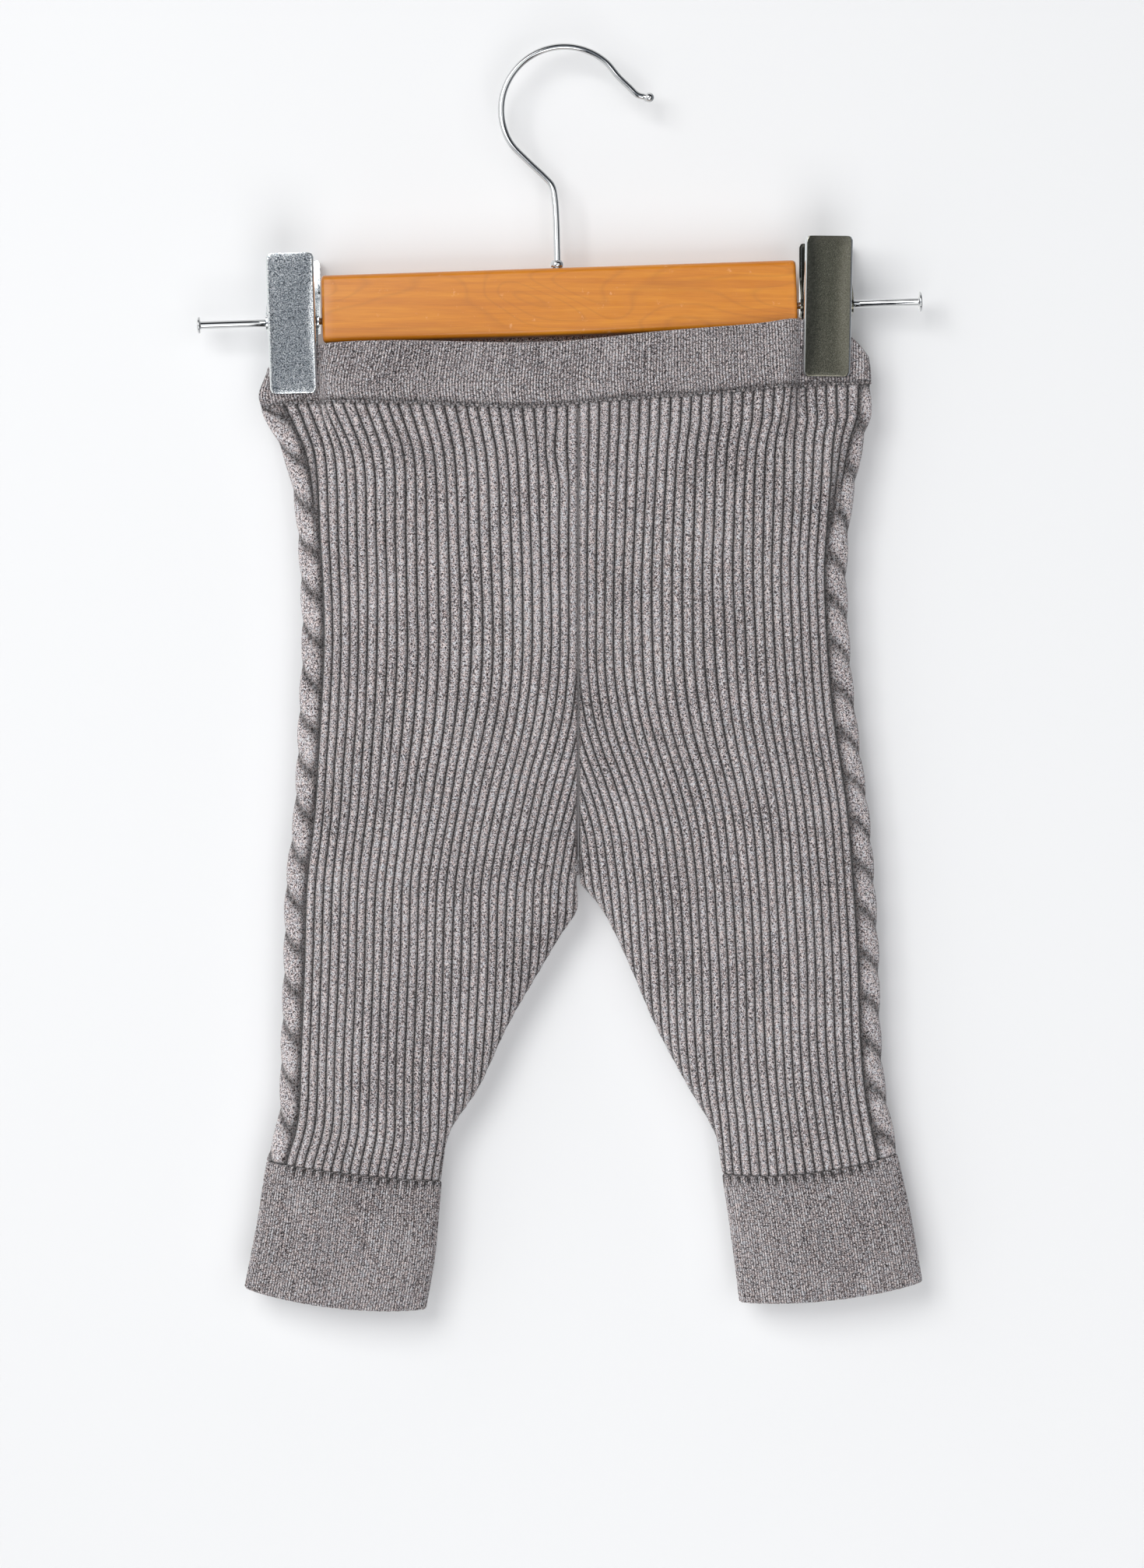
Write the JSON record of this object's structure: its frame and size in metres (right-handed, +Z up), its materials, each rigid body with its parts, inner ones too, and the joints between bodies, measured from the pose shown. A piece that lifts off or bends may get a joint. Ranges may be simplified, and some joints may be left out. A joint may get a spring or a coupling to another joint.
{
  "type": "baby leggings on a clip hanger",
  "caption": "Grey heather baby leggings in broad rib knit with a cable down each side, hung flat by the waistband from a wooden clip hanger with a wire hook.",
  "frame": {"origin": "inner top of the wire hook, where it rests on a rail", "axes": "+Z up, the garment's front faces -Y, +X to the right as seen from the front"},
  "size_m": [0.2907, 0.0256, 0.5069],
  "materials": {
    "rib_knit_broad": "grey heather wool-look yarn in broad rib with a cable",
    "rib_knit_fine": "grey heather wool-look yarn in fine rib",
    "varnished_wood": "orange varnished softwood, satin",
    "bright_wire": "bright chromed steel wire",
    "pressed_steel": "zinc-plated pressed steel, dulled and speckled"
  },
  "bodies": {
    "root": {"waistband": "rib_knit_fine", "left_leg_panel": "rib_knit_broad", "right_leg_panel": "rib_knit_broad", "left_cuff": "rib_knit_fine", "right_cuff": "rib_knit_fine", "wooden_bar": "varnished_wood", "left_rod": "bright_wire", "right_rod": "bright_wire", "hook": "bright_wire", "hook_collar": "bright_wire", "left_clip_front": "pressed_steel", "left_clip_back": "pressed_steel", "left_clip_spring": "pressed_steel", "right_clip_front": "pressed_steel", "right_clip_back": "pressed_steel", "right_clip_spring": "pressed_steel"}
  },
  "joints": []
}
